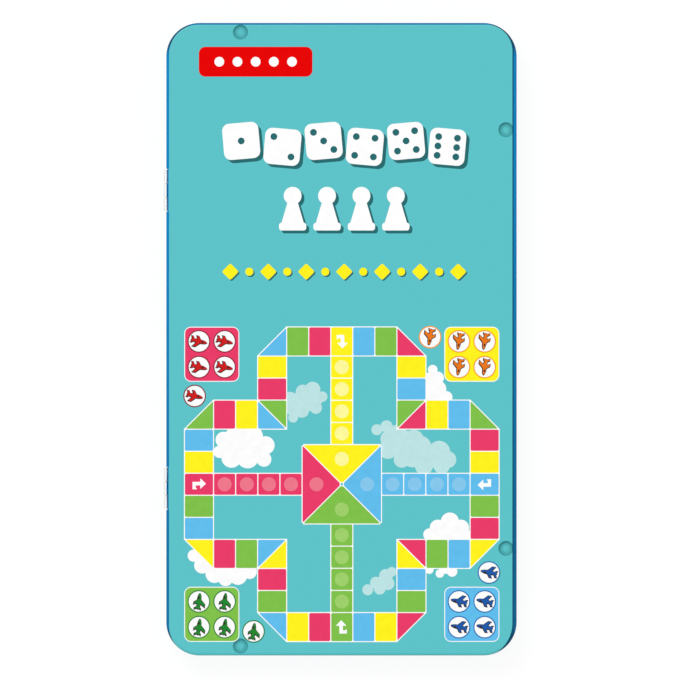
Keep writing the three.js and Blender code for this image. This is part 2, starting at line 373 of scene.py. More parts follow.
def knuckle(side, y, long):
    """The sheet's edge carried on round the wire: a strip of the leaf's section, spun through 285
    degrees, and through 20 more before them that lie in the leaf."""
    bpy.ops.object.select_all(action="DESELECT")
    middle = (axis_x + (bore + roll) / 2, y, parting_z)
    bpy.ops.mesh.primitive_plane_add(size=1, location=middle)
    strip = bpy.context.object
    strip.scale = (roll - bore, long, 1)
    settle()
    open_whole(strip)
    centre = (axis_x, y, parting_z)
    bpy.ops.transform.rotate(value=lead_in * side, orient_axis="Y", center_override=centre)
    turn_by = -(lead_in + rolled) * side
    bpy.ops.mesh.spin(steps=30, angle=turn_by, center=centre, axis=(0, 1, 0))
    close_up()
    object_mode()
    return strip


def form_hinge(shell, side, y, own, windows):
    """One shell's half of one hinge, above the parting line for side 1 and below it for -1."""
    y0, y1 = y - recess_end, y + recess_end

    def spans(near, far):
        return sorted((parting_z + side * near, parting_z + side * far))

    carve(shell, leaf_block(y0 - sheet, y1 + sheet, side), "UNION")
    carve(shell, block(wall_x - mm, wall_x + leaf_front, y0, y1, *spans(-mm, past_face)))
    band = spans(-mm, window_height)
    carve(shell, block(wall_x + leaf_back, wall_x + window_back, y0, y1, *band))
    for low, high in windows:
        carve(shell, block(wall_x - mm, wall_x + window_back, y + low, y + high, *band))
    for centre in own:
        carve(shell, knuckle(side, y + centre, knuckle_long), "UNION")


for y in (hinge_y, -hinge_y):
    beside = [(-recess_end, -knuckle_long / 2), (knuckle_long / 2, recess_end)]
    form_hinge(lid, 1, y, [0], beside)
smooth(lid)


shine_gain, shine_lift = 1.012, 0.013
mottle_dark, mottle_light = 0.965, 1.03


def shade(red, green, blue):
    """A colour as it is read off the print, 0 to 255 a channel, made linear and less the shine
    that the varnish puts over it."""
    parts = []
    for value in (red, green, blue):
        share = value / 255
        level = share / 12.92 if share <= 0.04045 else ((share + 0.055) / 1.055) ** 2.4
        parts.append(max(0.0, min(1.0, shine_gain * level - shine_lift)))
    return (*parts, 1)


def lacquer(name, colour, roughness=0.38, shine=0.2):
    """Printing ink under clear varnish: a faint mottle in the ink and a fine orange peel on top."""
    finish = bpy.data.materials.new(name)
    finish.use_nodes = True
    nodes, links = finish.node_tree.nodes, finish.node_tree.links
    coat = nodes["Principled BSDF"]
    coat.inputs["Specular IOR Level"].default_value = shine
    coat.inputs["Roughness"].default_value = roughness
    where = add_node(nodes, "TexCoord")
    mottle = add_node(nodes, "TexNoise", Scale=420, Detail=4)
    links.new(where.outputs["Object"], mottle.inputs["Vector"])
    tint = add_node(nodes, "ValToRGB")
    tint.color_ramp.elements[0].position = 0.3
    tint.color_ramp.elements[1].position = 0.7
    tint.color_ramp.elements[0].color = (*[c * mottle_dark for c in colour[:3]], 1)
    tint.color_ramp.elements[1].color = (*[min(1, c * mottle_light) for c in colour[:3]], 1)
    links.new(mottle.outputs["Fac"], tint.inputs["Fac"])
    links.new(tint.outputs["Color"], coat.inputs["Base Color"])
    peel = add_node(nodes, "TexNoise", Scale=1500, Detail=2)
    links.new(where.outputs["Object"], peel.inputs["Vector"])
    relief = add_node(nodes, "Bump", Strength=0.08, Distance=0.02 * mm)
    links.new(peel.outputs["Fac"], relief.inputs["Height"])
    links.new(relief.outputs["Normal"], coat.inputs["Normal"])
    return finish


# The last of these colours is painted shade: a dark blue for the bend round the panel, where shade
# falls.
teal, wall_blue, painted_shade_navy = shade(96, 195, 200), shade(0, 132, 194), shade(0, 76, 106)
# This material carries the panel print and also the painted shade that is laid on below.
outside = lacquer("tin_print_blue_painted_shade", wall_blue, shine=0.1)


# The teal panel's place on the face, from the tin's middle, and the painted shade on the blue round
# it.
panel_low, panel_high = (-52.68 * mm, -98.5 * mm), (53.12 * mm, 96.92 * mm)
panel_low_z, hinge_margin = 12.6 * mm, 0.35 * mm
panel_round, right_sharper = 9.1 * mm, 1 * mm
foot_rounder, right_foot_rounder = 1.2 * mm, 1.8 * mm
# These place painted shade on the blue bend: a line down the right, the corners, the top, and both
# sides darker towards the foot.
right_shade_line, side_x, top_shade_y = 0.36 * mm, 50 * mm, 96.5 * mm
shade_corner_x, shade_corner_y, shade_corner_ease = 43.5 * mm, 86.5 * mm, 5 * mm
side_shade_starts, side_shade_ends = 65 * mm, -85 * mm
top_painted_shade, left_painted_shade, right_painted_shade = 0.4, 0.39, 0.65
# Painted shade for the dimples: a dark teal, and how far and how strongly ambient occlusion lays
# it.
painted_hollow_shade, hollow_shade_reach, hollow_shade_power = shade(20, 100, 100), 1.5 * mm, 2.5


def print_panel_and_painted_shade(finish, low, high):
    """Lays the teal panel on the blue: a rounded rectangle on the face and over the first of its
    bend, out to the edge at the hinges. Round it, painted shade turns the blue a dark blue in a
    line down the right and at the corners, and darker at the top and down both sides; painted shade
    also darkens the face in the dimples."""
    nodes, links = finish.node_tree.nodes, finish.node_tree.links
    where = next(n for n in nodes if n.type == "TEX_COORD")
    coat = nodes["Principled BSDF"]
    blue_out = coat.inputs["Base Color"].links[0].from_socket

    def feed(value, socket):
        if isinstance(value, (int, float, tuple)):
            socket.default_value = value
        else:
            links.new(value, socket)

    def work(operation, a, b=0.0):
        node = add_node(nodes, "Math")
        node.operation = operation
        feed(a, node.inputs[0])
        feed(b, node.inputs[1])
        return node.outputs[0]

    def times(a, b):
        return work("MULTIPLY", a, b)

    def above(a, b):
        return work("GREATER_THAN", a, b)

    def below(a, b):
        return work("LESS_THAN", a, b)

    def eased(value, start, end):
        """0 at the start and 1 at the end, with a soft way between them."""
        node = add_node(nodes, "MapRange", From_Min=start, From_Max=end)
        node.interpolation_type = "SMOOTHSTEP"
        links.new(value, node.inputs["Value"])
        return node.outputs["Result"]

    def over(factor, under_colour, over_colour):
        node = add_node(nodes, "Mix")
        node.data_type = "RGBA"
        feed(factor, node.inputs["Factor"])
        feed(under_colour, node.inputs[6])
        feed(over_colour, node.inputs[7])
        return node.outputs[2]

    split = add_node(nodes, "SeparateXYZ")
    links.new(where.outputs["Object"], split.inputs[0])
    x, y, z = split.outputs
    right, foot = above(x, 0.0), below(y, 0.0)
    radius = work("SUBTRACT", panel_round, times(right, right_sharper))
    radius = work("ADD", radius, times(foot, foot_rounder))
    radius = work("ADD", radius, times(times(right, foot), right_foot_rounder))
    squares = []
    for axis, a, b in ((x, low[0], high[0]), (y, low[1], high[1])):
        off = work("ABSOLUTE", work("SUBTRACT", axis, (a + b) / 2))
        straight = work("SUBTRACT", (b - a) / 2, radius)
        beyond = work("MAXIMUM", work("SUBTRACT", off, straight), 0.0)
        squares.append(times(beyond, beyond))
    off_panel = work("SUBTRACT", work("SQRT", work("ADD", *squares)), radius)
    at_left, at_right = below(x, -side_x), above(x, side_x)
    # Painted shade on the blue round the panel: a dark line down the right, dark corners, a darker
    # top, and sides that darken towards the foot.
    dark = times(below(off_panel, right_shade_line), at_right)
    corner_painted_shade = times(
        eased(work("ABSOLUTE", x), shade_corner_x, shade_corner_x + shade_corner_ease),
        eased(work("ABSOLUTE", y), shade_corner_y, shade_corner_y + shade_corner_ease),
    )
    side_painted_shade = work("ADD", times(at_left, left_painted_shade), times(at_right, right_painted_shade))
    side_painted_shade = times(eased(y, side_shade_starts, side_shade_ends), side_painted_shade)
    for shade_part in (corner_painted_shade, times(above(y, top_shade_y), top_painted_shade), side_painted_shade):
        dark = work("MAXIMUM", dark, shade_part)
    off_hinge = work("ABSOLUTE", work("SUBTRACT", work("ABSOLUTE", y), hinge_y))
    on_hinge = times(below(off_hinge, recess_end), at_left)
    on_hinge = times(on_hinge, above(x, wall_x + leaf_front + hinge_margin))
    on_panel = work("MAXIMUM", below(off_panel, 0.0), on_hinge)
    face = over(on_panel, over(dark, blue_out, painted_shade_navy), teal)
    # Painted shade: ambient occlusion darkens the face in the dimples' hollows.
    hollow = add_node(nodes, "AmbientOcclusion", Distance=hollow_shade_reach)
    hollow.samples = 8
    hollow.only_local = True
    face = over(work("POWER", hollow.outputs["AO"], hollow_shade_power), painted_hollow_shade, face)
    links.new(over(above(z, panel_low_z), blue_out, face), coat.inputs["Base Color"])


print_panel_and_painted_shade(outside, panel_low, panel_high)


def bare_tin(name, colour, roughness):
    """Tinplate under a thin clear lacquer: rolled streaks and a soft, cloudy shine."""
    metal = bpy.data.materials.new(name)
    metal.use_nodes = True
    nodes, links = metal.node_tree.nodes, metal.node_tree.links
    plate = nodes["Principled BSDF"]
    plate.inputs["Base Color"].default_value = colour
    plate.inputs["Metallic"].default_value = 1
    where = add_node(nodes, "TexCoord")
    grain = add_node(nodes, "Mapping", Scale=(2600, 90, 2600))
    streaks = add_node(nodes, "TexNoise", Scale=1, Detail=3)
    links.new(where.outputs["Object"], grain.inputs["Vector"])
    links.new(grain.outputs["Vector"], streaks.inputs["Vector"])
    dull = add_node(nodes, "MapRange", To_Min=roughness - 0.06, To_Max=roughness + 0.08)
    links.new(streaks.outputs["Fac"], dull.inputs["Value"])
    links.new(dull.outputs["Result"], plate.inputs["Roughness"])
    relief = add_node(nodes, "Bump", Strength=0.1, Distance=0.01 * mm)
    links.new(streaks.outputs["Fac"], relief.inputs["Height"])
    links.new(relief.outputs["Normal"], plate.inputs["Normal"])
    return metal


inside = bare_tin("tin_inside", (0.83, 0.83, 0.82, 1), 0.32)


def depth_in(point):
    """How far in from the tin's outline a point lies."""
    x = abs(point.x - tin_middle) - (tin_width / 2 - corner_radius)
    y = abs(point.y) - (tin_length / 2 - corner_radius)
    return corner_radius - math.hypot(max(x, 0), max(y, 0)) - min(max(x, y), 0)


def finish_shell(shell, body, node, skins, outer):
    """Printed outside and bare inside, then set on its body in place of the plain shell."""
    for skin in skins:
        shell.data.materials.append(skin)
    pick(shell, outer)
    object_mode()
    for face in shell.data.polygons:
        face.material_index = 0 if face.select else 1
    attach(shell, body)
    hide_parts(node)


def lid_outside(point, normal):
    deep = depth_in(point)
    middle = face_z - bend
    round_the_bend = point.z > middle and deep < bend
    if round_the_bend:
        return normal.z > 0.2 or math.hypot(bend - deep, point.z - middle) > bend - sheet / 3
    on_leaf = abs(deep - leaf_front) < hair and normal.x < -0.5
    on_wall = -touch < deep < sheet / 2
    return on_wall or on_leaf or (deep > bend / 2 and normal.z > 0.3)


finish_shell(lid, "lid", "lid_shell", [outside, inside], lid_outside)


# The base's shell. A second tray of the same sheet, set in at a shoulder to the neck that the lid
# slides over, with its edge curled in. Along the hinges its neck is trimmed low.
neck_in, rim_curl, rim_top = 1.5 * mm, 0.65 * mm, 12.4 * mm
shoulder_z, shoulder_bend, neck_bend = 6.9 * mm, 0.6 * mm, 0.3 * mm
rim_in, rim_low = neck_in + rim_curl, rim_top - rim_curl
curl_end = math.radians(-80)
base_skin = 0.17 * mm
base_section = draw_line(
    (flat_reach, 0),
    [
        ("to", bend, 0),
        ("round", bend, bend, -90),
        ("to", 0, shoulder_z - shoulder_bend),
        ("round", shoulder_bend, shoulder_z - shoulder_bend, -90),
        ("to", neck_in - neck_bend, shoulder_z),
        ("round", neck_in - neck_bend, shoulder_z + neck_bend, 90),
        ("to", neck_in, rim_low),
        ("round", rim_in, rim_low, -260),
        (
            "to",
            rim_in + (rim_curl - sheet) * math.cos(curl_end),
            rim_low + (rim_curl - sheet) * math.sin(curl_end),
        ),
        ("round", rim_in, rim_low, 260),
        ("to", neck_in + sheet, shoulder_z + neck_bend),
        ("round", neck_in - neck_bend, shoulder_z + neck_bend, -90),
        ("to", shoulder_bend, shoulder_z - sheet),
        ("round", shoulder_bend, shoulder_z - shoulder_bend, 90),
        ("to", sheet, bend),
        ("round", bend, bend, 90),
        ("to", flat_reach, sheet),
    ],
)
base = press("base_shell_tin", base_section)
trim_end = tin_length / 2 - corner_radius - 2 * rim_curl
trim_low = shoulder_z + 1.2 * mm
trim_out, trim_in = wall_x + neck_in - 0.4 * mm, wall_x + neck_in + 2.5 * mm
carve(base, block(trim_out, trim_in, -trim_end, trim_end, trim_low, tin_height))
for y in (hinge_y, -hinge_y):
    form_hinge(base, -1, y, [-knuckle_pitch, knuckle_pitch], [(-clear_end, clear_end)])
smooth(base)


def base_outside(point, normal):
    deep = depth_in(point)
    if point.z < bend and deep < bend:
        return math.hypot(bend - deep, bend - point.z) > bend - sheet / 2
    on_leaf = abs(deep - leaf_front) < hair and normal.x < -0.5
    on_wall = point.z < shoulder_z and -touch < deep < base_skin
    return on_wall or on_leaf or (deep > 0 and point.z < sheet / 2)


base_print = lacquer("base_print_blue", wall_blue, shine=0.1)
finish_shell(base, "base", "base_shell", [base_print, inside], base_outside)


# The hinge wires. Two short lengths of bright drawn steel, cut off square with their ends eased,
# pushed through the three knuckles of each hinge.
wire_radius, wire_long, wire_ease = 0.35 * mm, 12.7 * mm, 0.1 * mm
drawn_steel = bare_tin("drawn_steel", (0.62, 0.62, 0.63, 1), 0.22)
for place, y in (("upper", hinge_y), ("lower", -hinge_y)):
    bpy.ops.object.select_all(action="DESELECT")
    bpy.ops.mesh.primitive_cylinder_add(
        vertices=24,
        radius=wire_radius,
        depth=wire_long,
        location=(axis_x, y, parting_z),
        rotation=(math.pi / 2, 0, 0),
    )
    wire = bpy.context.object
    wire.name = f"hinge_wire_{place}"
    settle()
    pick(wire, lambda point, normal: abs(normal.y) > 0.9)
    bpy.ops.mesh.bevel(offset=wire_ease, segments=3, affect="EDGES")
    object_mode()
    smooth(wire, 50)
    wire.data.materials.append(drawn_steel)
    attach(wire, "base")
    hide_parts(f"hinge_pin_{place}")


# The lid's print. Screen inks laid one on another on the face, each a film of 0.011 mm: clouds,
# the white board with its lines, the coloured tiles, the spots, and the small aircraft signs.
film = 0.011 * mm
middle_x = 0.55 * mm
board_y = -44.7 * mm
small, wide = 6.79 * mm, 8.97 * mm
line, tile_round = 0.3 * mm, 0.42 * mm
ink_shades = {
    "crimson": (232, 59, 104),
    "yellow": (255, 241, 1),
    "green": (126, 191, 73),
    "blue": (96, 188, 235),
    "pale_crimson": (237, 118, 138),
    "pale_yellow": (253, 248, 154),
    "pale_green": (157, 206, 106),
    "pale_blue": (133, 198, 235),
    "white": (252, 252, 252),
    "cloud": (188, 226, 227),
    "ring_crimson": (135, 30, 45),
    "ring_yellow": (243, 152, 10),
    "ring_green": (45, 125, 55),
    "ring_blue": (15, 105, 175),
    "dark": (48, 30, 34),
    "plane_crimson": (205, 15, 15),
    "plane_yellow": (232, 118, 20),
    "plane_green": (0, 132, 45),
    "plane_blue": (0, 88, 165),
}
inks = {name: lacquer(f"ink_{name}", shade(*seen_as)) for name, seen_as in ink_shades.items()}


def patch(x, y, width, height):
    """A flat rectangle, brought to its size and place."""
    bpy.ops.object.select_all(action="DESELECT")
    bpy.ops.mesh.primitive_plane_add(size=1, location=(x, y, 0))
    flat = bpy.context.object
    flat.scale = (width, height, 1)
    settle()
    return flat


def spot(x, y, radius, sides=40, width=1.0):
    """A flat disc, or an oval where its width isn't 1."""
    bpy.ops.object.select_all(action="DESELECT")
    bpy.ops.mesh.primitive_circle_add(
        vertices=sides, radius=radius, fill_type="NGON", location=(x, y, 0)
    )
    flat = bpy.context.object
    flat.scale = (width, 1, 1)
    settle()
    return flat


def trim_off(flat, point, normal):
    """Cuts away what lies on the normal's side of a straight line through the point."""
    open_whole(flat)
    bpy.ops.mesh.bisect(
        plane_co=(*point, 0), plane_no=(*normal, 0), clear_outer=True, threshold=0.0001 * mm
    )
    object_mode()
    return flat


def ease(flat, radius, segments=3):
    """Rounds the corners of a flat shape."""
    open_whole(flat)
    bpy.ops.mesh.bevel(offset=radius, segments=segments, affect="VERTICES", clamp_overlap=True)
    object_mode()
    return flat


def together(shapes):
    """Several shapes as one."""
    bpy.ops.object.select_all(action="DESELECT")
    for shape in shapes:
        shape.select_set(True)
    bpy.context.view_layer.objects.active = shapes[0]
    if len(shapes) > 1:
        bpy.ops.object.join()
    return shapes[0]


def lay(shapes, ink, layer, merge=False):
    """One film of ink from flat shapes, a film's thickness deep, on its layer over the face."""
    flat = together(shapes)
    only(flat)
    edit_mode()
    bpy.ops.mesh.select_mode(type="FACE")
    bpy.ops.mesh.select_all(action="SELECT")
    bpy.ops.mesh.extrude_region_move(TRANSFORM_OT_translate={"value": (0, 0, film)})
    bpy.ops.mesh.select_all(action="SELECT")
    bpy.ops.transform.translate(value=(0, 0, face_z + (layer - 1) * film))
    bpy.ops.mesh.normals_make_consistent(inside=False)
    object_mode()
    flat.data.materials.clear()
    flat.data.materials.append(inks[ink])
    if merge:
        crumb = block(0.2, 0.21, 0, 0.01, 0, 0.01)
        only(flat)
        weld = flat.modifiers.new("weld", "BOOLEAN")
        weld.operation = "DIFFERENCE"
        weld.solver = "EXACT"
        weld.use_self = True
        weld.object = crumb
        bpy.ops.object.modifier_apply(modifier="weld")
        bpy.data.objects.remove(crumb)
    return flat


# Thirteen columns and rows, wide where the track turns. The track is walked once round, and its
# tiles take the four colours in turn; a tile at an inner corner is shared by two of them.
spans = [wide, small, small, wide] + [small] * 5 + [wide, small, small, wide]
edges = [-sum(spans) / 2]
for span in spans:
    edges.append(edges[-1] + span)
walk = [(1, 0, 6), (0, 1, 3), (1, 0, 3), (0, 1, 6), (-1, 0, 3), (0, 1, 3)]
walk += [(-1, 0, 6), (0, -1, 3), (-1, 0, 3), (0, -1, 6), (1, 0, 3), (0, -1, 3)]
order = ["blue", "green", "crimson", "yellow"]
outer_turns = [(3, 0), (9, 0), (12, 3), (12, 9), (9, 12), (3, 12), (0, 9), (0, 3)]
inner_turns = [(3, 3), (9, 3), (9, 9), (3, 9)]


def tile_box(column, row):
    """A tile's middle, width and height, from the board's own middle."""
    x0, x1 = edges[column], edges[column + 1]
    y0, y1 = -edges[row + 1], -edges[row]
    return (x0 + x1) / 2, (y0 + y1) / 2, x1 - x0, y1 - y0


def tile(x, y, width, height, cuts, grow):
    """A tile in from its lines, or out over them, with each cut moved the same way."""
    flat = patch(middle_x + x, board_y + y, width + 2 * grow, height + 2 * grow)
    for (px, py), (nx, ny) in cuts:
        length = math.hypot(nx, ny)
        nx, ny = nx / length, ny / length
        trim_off(flat, (middle_x + px + nx * grow, board_y + py + ny * grow), (nx, ny))
    if grow < 0:
        ease(flat, tile_round)
    return flat


tiles = {colour: [] for colour in order}
under = []


def set_tile(colour, x, y, width, height, cuts=()):
    tiles[colour].append(tile(x, y, width, height, cuts, -line / 2))
    under.append(tile(x, y, width, height, cuts, line / 2))


column, row, count = 3, 0, 0
for across, down, steps in walk:
    for _ in range(steps):
        x, y, width, height = tile_box(column, row)
        out_x, out_y = math.copysign(1, x), math.copysign(1, y)
        if (column, row) in outer_turns:
            set_tile(order[count % 4], x, y, width, height, [((x, y), (out_x, out_y))])
        elif (column, row) in inner_turns:
            came = (last_x - x, last_y - y)
            for side in (1, -1):
                normal = (-out_y * side, out_x * side)
                if normal[0] * came[0] + normal[1] * came[1] > 0:
                    later = normal
                else:
                    earlier = normal
            set_tile(order[count % 4], x, y, width, height, [((x, y), earlier)])
            count += 1
            set_tile(order[count % 4], x, y, width, height, [((x, y), later)])
        else:
            set_tile(order[count % 4], x, y, width, height)
        last_x, last_y = x, y
        count += 1
        column, row = column + across, row + down

# Four runs of four tiles lead to the middle, where four wedges meet, and a yard with a white
# border fills each corner of the board.
home_half = 12.24 * mm
run = (-edges[1] - home_half) / 4
home_disc, home_disc_far, home_wing, home_gap = 2.16 * mm, 7.8 * mm, 11.75 * mm, 0.5 * mm
yard, yard_round = 16.45 * mm, 1.8 * mm
yard_border, border_round = 0.26 * mm, 2.1 * mm
half_board = sum(spans) / 2
yard_middle = half_board - yard / 2 - 0.2 * mm
disc = 3.3 * mm
homes = [("yellow", 0, 1), ("crimson", -1, 0), ("blue", 1, 0), ("green", 0, -1)]
yards = {"crimson": (-1, 1), "yellow": (1, 1), "green": (-1, -1), "blue": (1, -1)}
home_spots = {colour: [] for colour in order}
for colour, dx, dy in homes:
    for step in range(4):
        far = home_half + run * (step + 0.5)
        width, height = (small, run) if dy else (run, small)
        set_tile(colour, dx * far, dy * far, width, height)
        home_spots[colour].append(spot(middle_x + dx * far, board_y + dy * far, home_disc))
    side_x, side_y = -dy, dx
    cuts = [((0, 0), (side_x - dx, side_y - dy)), ((0, 0), (-side_x - dx, -side_y - dy))]
    cuts.append(((dx * home_gap, dy * home_gap), (-dx, -dy)))
    for side in (1, -1):
        tip = (side * side_x * home_wing, side * side_y * home_wing)
        cuts.append((tip, (side * side_x, side * side_y)))
    set_tile(colour, 0, 0, 2 * home_half, 2 * home_half, cuts)
    x, y = middle_x + dx * home_disc_far, board_y + dy * home_disc_far
    home_spots[colour].append(spot(x, y, home_disc))
for colour, (dx, dy) in yards.items():
    x, y = dx * yard_middle, dy * yard_middle
    tiles[colour].append(ease(patch(middle_x + x, board_y + y, yard, yard), yard_round, 6))
    border = yard + 2 * yard_border
    under.append(ease(patch(middle_x + x, board_y + y, border, border), border_round, 6))

board_parts = [lay(under, "white", 2, merge=True)]
for colour in order:
    board_parts.append(lay(tiles[colour], colour, 3))
    board_parts.append(lay(home_spots[colour], f"pale_{colour}", 4))

# A bent arrow shows the way onto each run: in along the track, a turn, and down the run.
arrows = []
for quarters, (dx, dy) in enumerate([(0, 1), (-1, 0), (0, -1), (1, 0)]):
    far = (-edges[0] - edges[1]) / 2
    shaft = patch(0.2 * mm, 0.8 * mm, 1.1 * mm, 2.4 * mm)
    arm = patch(-0.95 * mm, 1.5 * mm, 1.2 * mm, 1 * mm)
    hook = patch(-1.35 * mm, 0.85 * mm, 0.4 * mm, 0.3 * mm)
    bpy.ops.mesh.primitive_circle_add(
        vertices=3, radius=1.9 * mm, fill_type="NGON", rotation=(0, 0, math.pi)
    )
    head = bpy.context.object
    head.scale = (1, 0.62, 1)
    head.location = (0.2 * mm, -0.99 * mm, 0)
    settle()
    arrow = together([shaft, arm, hook, head])
    arrow.rotation_euler.z = quarters * math.pi / 2
    arrow.location = (middle_x + dx * far, board_y + dy * far, 0)
    only(arrow)
    settle()
    arrows.append(arrow)
board_parts.append(lay(arrows, "white", 4))


def fin(root, tip, side, grow):
    """A wing or a tail fin: a strip cut to its two edges, each given from root to tip."""
    (root_front, root_back), (tip_front, tip_back, span) = root, tip
    high = span + grow
    flat = patch((root_front + tip_back) / 2, side * high / 2, 3 * mm + abs(tip_back), high)
    for start, end, way in ((root_front, tip_front, 1), (root_back, tip_back, -1)):
        normal = Vector((span, (start - end) * side)).normalized() * way
        trim_off(flat, (start + normal.x * grow, normal.y * grow), normal)
    return flat


def aircraft(grow):
    """A plain aircraft in a shallow turn, nose along x: body, swept wings, tail and fin."""
    body = spot(0, 0, 0.55 * mm + grow, 28, width=(2.45 * mm + grow) / (0.55 * mm + grow))
    wings = [fin((1.0 * mm, -0.4 * mm), (-0.75 * mm, -1.6 * mm, 1.9 * mm), -1, grow)]
    wings.append(fin((0.8 * mm, -0.3 * mm), (-0.35 * mm, -1 * mm, 1.5 * mm), 1, grow))
    wings.append(fin((-1.4 * mm, -2.1 * mm), (-2.05 * mm, -2.5 * mm, 1.15 * mm), 1, grow))
    wings.append(fin((-1.5 * mm, -2.1 * mm), (-2.1 * mm, -2.5 * mm, 0.75 * mm), -1, grow))
    return together([body] + wings)


def duplicate(piece):
    """A copy of a piece with a mesh of its own."""
    copy = piece.copy()
    copy.data = piece.data.copy()
    scene.collection.objects.link(copy)
    return copy


def copies(shape, places):
    """Copies of a shape, turned and set at each (x, y, degrees)."""
    made = []
    for x, y, heading in places:
        copy = duplicate(shape)
        turn_to = Matrix.Rotation(math.radians(heading), 4, "Z")
        copy.data.transform(Matrix.Translation((x, y, 0)) @ turn_to)
        made.append(copy)
    bpy.data.objects.remove(shape)
    return made


headings = {"crimson": -14, "yellow": -100, "green": 82, "blue": 168}
near, far = 27.2 * mm, 45.35 * mm
starts = {
    "crimson": (-far, near),
    "yellow": (near, far),
    "green": (-near, -far),
    "blue": (far, -near),
}
disc_off, ring_out, ring_in = 3.96 * mm, 0.18 * mm, 0.16 * mm
plane_outline, plane_inset = 0.2 * mm, 0.03 * mm
lit_x, lit_y = 0.06 * mm, 0.08 * mm
for colour, (dx, dy) in yards.items():
    x, y = dx * yard_middle, dy * yard_middle
    places = [(x + i * disc_off, y + j * disc_off) for i in (-1, 1) for j in (-1, 1)]
    places.append(starts[colour])
    places = [(middle_x + px, board_y + py, headings[colour]) for px, py in places]
    board_parts.append(lay(copies(spot(0, 0, disc + ring_out), places), f"ring_{colour}", 4))
    board_parts.append(lay(copies(spot(0, 0, disc - ring_in), places), "white", 5))
    board_parts.append(lay(copies(aircraft(plane_outline), places), "dark", 6, merge=True))
    lit = [(px + lit_x, py + lit_y, heading) for px, py, heading in places]
    board_parts.append(lay(copies(aircraft(-plane_inset), lit), f"plane_{colour}", 7, merge=True))
    canopy = spot(1.15 * mm, 0.12 * mm, 0.24 * mm, 16, width=1.9)
    board_parts.append(lay(copies(canopy, places), "dark", 8))


# Each cloud is a cluster of round puffs (x, y, radius) in millimetres from the board's middle.
white_puffs = [
    (28, 35.3, 1.5), (29.6, 32.8, 1.9), (29.4, 29.3, 2.8), (32.2, 26.8, 1.9), (26.5, 30.7, 3.7),
    (27.2, 27.2, 1.8), (29.8, 27, 2), (-36.4, 13.7, 2.5), (-37.7, 10, 1.9), (-32.7, 15, 3.1),
    (-27.7, 14.7, 3.4), (-23.5, 12, 2.8), (-24, 7.7, 2.3), (-29, 8.3, 3.4), (-34, 8.2, 3.1),
    (-34.5, 11.6, 3.2), (-30, 11.6, 3.6), (-26, 10.4, 3.3), (-45.6, -22, 1.9), (-43, -25, 2.5),
    (-39.2, -27.6, 2.8), (-35.8, -29.2, 2.2), (-32, -28.2, 2.8), (-28.4, -27, 2.2),
    (-35, -24.8, 3.7), (-40, -23.2, 3.1), (-37.5, -24.6, 3.4), (-31, -25.4, 3.2),
    (-42.5, -22.5, 2.8), (27, -15.5, 1.9), (29.6, -13.4, 2.5), (33.3, -11.5, 2.8),
    (36.7, -13.4, 2.5), (38.2, -15.8, 1.9), (32.7, -15, 3.1), (30.4, -15.6, 2.6), (35.8, -15, 2.9),
    (27, -26.3, 1.3), (30.2, -27.5, 1.3), (34, -26.9, 1.6), (32, -25.6, 2),
]
pale_puffs = [
    (-12, 28.5, 2.2), (-9, 29.2, 2.4), (-6, 27, 1.6), (-8, 23.6, 1.9), (-12.3, 22.7, 2.2),
    (-15, 20.5, 1.5), (-16, 26, 2.5), (-11.3, 26, 3.7), (-14.3, 23.3, 2.8), (-8, 26.6, 2.4),
    (10.8, 16.8, 1.7), (13.8, 17.8, 1.9), (17.3, 15.6, 2.8), (22.2, 13.7, 3.1), (14.2, 10.7, 2.9),
    (14.5, 14, 2.6), (18.5, 7.6, 2.5), (19, 11, 3.4), (24, 11.3, 3.7), (30, 10, 3.4),
    (32.7, 7.6, 2.6), (25.3, 5.7, 2.8), (30.8, 5.7, 2.5), (27.2, 8.3, 3.4), (21.8, 8.4, 3.2),
    (16.6, 12.6, 3.2), (19.8, 13.6, 2.9), (8, -32.5, 1.7), (10.5, -30.3, 1.8), (13.6, -28.2, 2.1),
    (15.4, -27, 1.5), (11.7, -32.2, 1.8), (14.2, -30.6, 2), (12.4, -30.4, 2.1),
]
sky = []
for puffs, ink in ((white_puffs, "white"), (pale_puffs, "cloud")):
    rounds = [spot(middle_x + x * mm, board_y + y * mm, r * mm, 28) for x, y, r in puffs]
    sky.append(lay(rounds, ink, 1, merge=True))


lid_print = together(board_parts + sky)
lid_print.name = "lid_print_board"


# The lid's title place. Plain signs of the game stand where a tin like this is lettered: a red
# bar with white spots, six die faces, four pawns, and a row of small yellow lozenges.
inks["title_white"] = lacquer("ink_title_white", shade(255, 255, 255))
inks["title_shadow"] = lacquer("ink_title_shadow", shade(38, 104, 108))
inks["title_red"] = lacquer("ink_title_red", shade(231, 22, 26), shine=0.03)
title_x = 1.3 * mm
pips = {
    1: [(0, 0)],
    2: [(-1, 1), (1, -1)],
    3: [(-1, 1), (0, 0), (1, -1)],
    4: [(-1, 1), (1, 1), (-1, -1), (1, -1)],
    5: [(-1, 1), (1, 1), (0, 0), (-1, -1), (1, -1)],
    6: [(-1, 1), (1, 1), (-1, 0), (1, 0), (-1, -1), (1, -1)],
}


def turned(shape, x, y, degrees):
    """The shape turned about the face's middle and then set at its place."""
    around = Matrix.Rotation(math.radians(degrees), 4, "Z")
    shape.data.transform(Matrix.Translation((x, y, 0)) @ around)
    return shape


square, square_step, square_row, square_round = 11.2 * mm, 12.7 * mm, 60.2 * mm, 2.2 * mm
stagger, lean, square_shadow = 0.9 * mm, 5, 1 * mm
pip_step, pip_radius = 2.9 * mm, 1.05 * mm
faces, face_shadows, face_pips = [], [], []
for number in range(1, 7):
    way = 1 if number % 2 else -1
    x, y = title_x + (number - 3.5) * square_step, square_row + way * stagger
    for group, off in ((faces, 0), (face_shadows, square_shadow)):
        flat = ease(patch(0, 0, square, square), square_round, 6)
        group.append(turned(flat, x + off, y - off, way * lean))
    dots = [spot(i * pip_step, j * pip_step, pip_radius, 24) for i, j in pips[number]]
    face_pips.append(turned(together(dots), x, y, way * lean))

